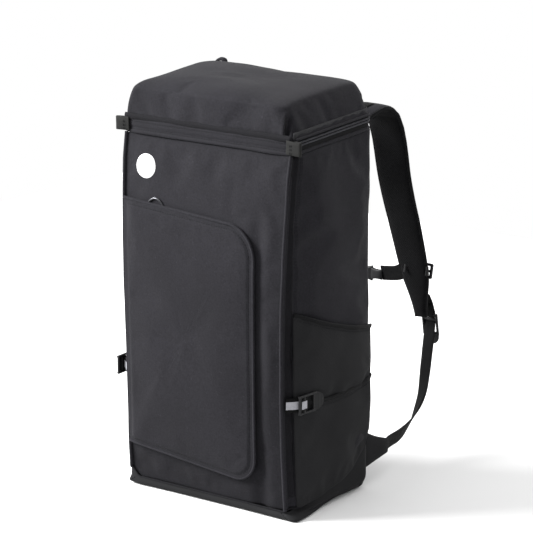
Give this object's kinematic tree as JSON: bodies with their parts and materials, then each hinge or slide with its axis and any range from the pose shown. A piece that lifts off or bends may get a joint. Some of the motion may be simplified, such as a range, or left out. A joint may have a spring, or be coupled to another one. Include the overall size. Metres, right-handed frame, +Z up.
{
  "type": "ski boot backpack",
  "caption": "Tall boxy ski boot backpack with a hinged zip lid, flap front pocket, side pockets, compression straps and padded shoulder harness.",
  "frame": {"origin": "centre of the bottom face of the base panel, on the floor", "axes": "+Z up, -Y towards the front pocket, +Y towards the shoulder straps, +X to the right in a view of the front"},
  "size_m": [0.324, 0.4398, 0.5866],
  "materials": {
    "body_cloth": "matt charcoal woven polyester",
    "base_cloth": "matt black ribbed polyester",
    "webbing": "woven black webbing",
    "pad_mesh": "black air mesh over foam",
    "buckle_plastic": "satin moulded black acetal",
    "zip_tape": "zip tape with nylon coil",
    "zip_metal": "gloss black enamelled zinc",
    "board": "black plastic board",
    "reflective": "light grey reflective tape",
    "badge_print": "matt white print"
  },
  "bodies": {
    "bag": {"back_pad_left": "pad_mesh", "back_pad_right": "pad_mesh", "back_panel": "body_cloth", "base_board": "board", "base_panel": "base_cloth", "front_badge": "badge_print", "front_band": "body_cloth", "front_panel": "body_cloth", "front_piping_left": "body_cloth", "front_piping_right": "body_cloth", "lower_webbing_left": "webbing", "lower_webbing_right": "webbing", "pocket_gusset": "zip_tape", "side_panel_left": "body_cloth", "side_panel_right": "body_cloth", "side_pocket_lower_left": "base_cloth", "side_pocket_lower_right": "base_cloth", "side_pocket_upper_left": "base_cloth", "side_pocket_upper_right": "base_cloth", "side_strap_left": "webbing", "side_strap_right": "webbing", "side_strap_stripe_left": "reflective", "side_strap_stripe_right": "reflective", "wing_left": "base_cloth", "wing_right": "base_cloth", "yoke_patch": "base_cloth", "zip_end_tab_left": "webbing", "zip_end_tab_right": "webbing", "zip_lower_track": "zip_tape"},
    "lid": {"lid_shell": "body_cloth", "zip_upper_track": "zip_tape", "lid_corner_loop": "webbing"},
    "lid_slider_left": {"lid_slider_left": "zip_metal"},
    "lid_pull_left": {"lid_slider_pull_left": "zip_metal"},
    "side_buckle_left": {"side_ladderlock_left": "buckle_plastic"},
    "shoulder_buckle_left": {"shoulder_ladderlock_left": "buckle_plastic"},
    "lid_slider_right": {"lid_slider_right": "zip_metal"},
    "lid_pull_right": {"lid_slider_pull_right": "zip_metal"},
    "side_buckle_right": {"side_ladderlock_right": "buckle_plastic"},
    "shoulder_buckle_right": {"shoulder_ladderlock_right": "buckle_plastic"},
    "pocket_flap": {"front_pocket_flap": "body_cloth"},
    "pocket_slider": {"pocket_slider": "zip_metal", "pocket_ring_pull": "zip_metal"},
    "haul_handle": {"haul_handle": "webbing"},
    "harness": {"shoulder_strap_left": "pad_mesh", "shoulder_strap_right": "pad_mesh", "strap_end_webbing_left": "webbing", "strap_end_webbing_right": "webbing"},
    "sternum_strap": {"sternum_buckle_plug": "buckle_plastic", "sternum_buckle_socket": "buckle_plastic", "sternum_clip_left": "buckle_plastic", "sternum_clip_right": "buckle_plastic", "sternum_webbing_left": "webbing", "sternum_webbing_right": "webbing"}
  },
  "joints": [
    {"name": "lid_hinge", "type": "hinge", "parent": "bag", "child": "lid", "pos_m": [0, -0.0925, 0.531], "axis": [1, 0, 0], "range_deg": [0, 115]},
    {"name": "lid_slider_left_run", "type": "slide", "parent": "bag", "child": "lid_slider_left", "axis": [-1, 0, 0], "range_m": [0, 0.11]},
    {"name": "lid_pull_left_flip", "type": "hinge", "parent": "lid_slider_left", "child": "lid_pull_left", "pos_m": [-0.009, 0.0939, 0.5295], "axis": [1, 0, 0], "range_deg": [0, 150]},
    {"name": "lid_slider_right_run", "type": "slide", "parent": "bag", "child": "lid_slider_right", "axis": [1, 0, 0], "range_m": [0, 0.11]},
    {"name": "lid_pull_right_flip", "type": "hinge", "parent": "lid_slider_right", "child": "lid_pull_right", "pos_m": [0.009, 0.0939, 0.5295], "axis": [1, 0, 0], "range_deg": [0, 150]},
    {"name": "pocket_flap_hinge", "type": "hinge", "parent": "bag", "child": "pocket_flap", "pos_m": [-0.1368, -0.1128, 0.235], "axis": [0, 0, -1], "range_deg": [0, 110]},
    {"name": "pocket_slider_run", "type": "slide", "parent": "bag", "child": "pocket_slider", "axis": [0.9978, 0, -0.0661], "range_m": [-0.03, 0.1]},
    {"name": "side_buckle_left_tilt", "type": "hinge", "parent": "bag", "child": "side_buckle_left", "pos_m": [-0.1495, -0.0905, 0.165], "axis": [0, 0, 1], "range_deg": [0, 35]},
    {"name": "shoulder_buckle_left_tilt", "type": "hinge", "parent": "harness", "child": "shoulder_buckle_left", "pos_m": [-0.093, 0.318, 0.1975], "axis": [1, 0, 0], "range_deg": [0, 40]},
    {"name": "side_buckle_right_tilt", "type": "hinge", "parent": "bag", "child": "side_buckle_right", "pos_m": [0.1495, -0.0905, 0.165], "axis": [0, 0, -1], "range_deg": [0, 35]},
    {"name": "shoulder_buckle_right_tilt", "type": "hinge", "parent": "harness", "child": "shoulder_buckle_right", "pos_m": [0.093, 0.318, 0.1975], "axis": [1, 0, 0], "range_deg": [0, 40]},
    {"name": "haul_handle_tilt", "type": "hinge", "parent": "bag", "child": "haul_handle", "pos_m": [0, 0.0929, 0.4819], "axis": [-1, 0, 0], "range_deg": [0, 70]},
    {"name": "harness_swing", "type": "hinge", "parent": "bag", "child": "harness", "pos_m": [0, 0.0984, 0.488], "axis": [-1, 0, 0], "range_deg": [-10, 26], "deforming": ["lower_webbing_left", "lower_webbing_right"]},
    {"name": "sternum_strap_height", "type": "slide", "parent": "harness", "child": "sternum_strap", "axis": [0, -0.2471, 0.969], "range_m": [-0.03, 0.03]}
  ]
}
